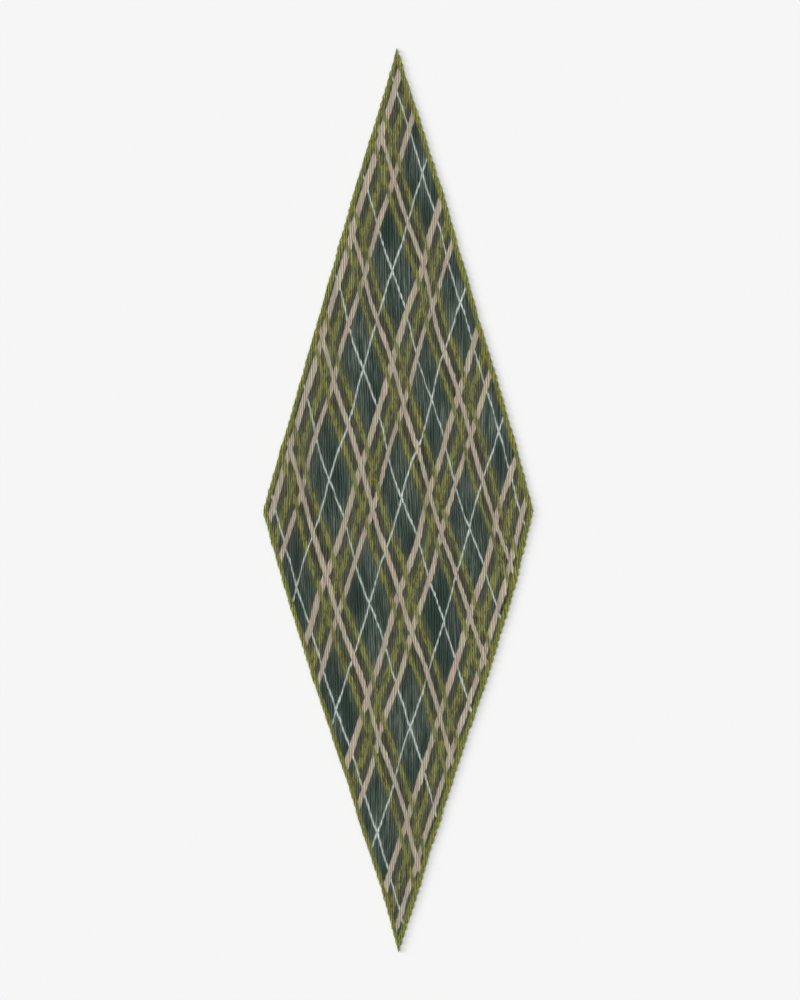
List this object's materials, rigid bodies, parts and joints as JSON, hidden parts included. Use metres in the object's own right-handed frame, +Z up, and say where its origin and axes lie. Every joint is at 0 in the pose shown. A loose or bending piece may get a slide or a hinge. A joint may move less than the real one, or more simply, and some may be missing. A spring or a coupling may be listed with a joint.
{
  "type": "pleated silk scarf",
  "caption": "Square silk scarf set in fine parallel pleats that draw it into a long lozenge, with narrow rolled hems, laid flat.",
  "frame": {"origin": "on the table under the middle of the scarf's bounding box", "axes": "+Y along the pleats, from the blunter half's tip to the longer half's tip; +X across the pleats, the way the ridges lean; +Z up, off the table, on the printed side"},
  "size_m": [0.3806, 1.2728, 0.0051],
  "materials": {
    "printed_silk": "satin",
    "hem_silk": "satin",
    "hem_thread": "satin",
    "label_satin": "satin"
  },
  "bodies": {
    "root": {"silk_panel": "printed_silk", "hem_upper_right": "hem_silk", "hem_lower_right": "hem_silk", "hem_lower_left": "hem_silk", "hem_upper_left": "hem_silk", "hem_thread_upper_right": "hem_thread", "hem_thread_lower_right": "hem_thread", "hem_thread_lower_left": "hem_thread", "hem_thread_upper_left": "hem_thread", "care_label": "label_satin"}
  },
  "joints": []
}
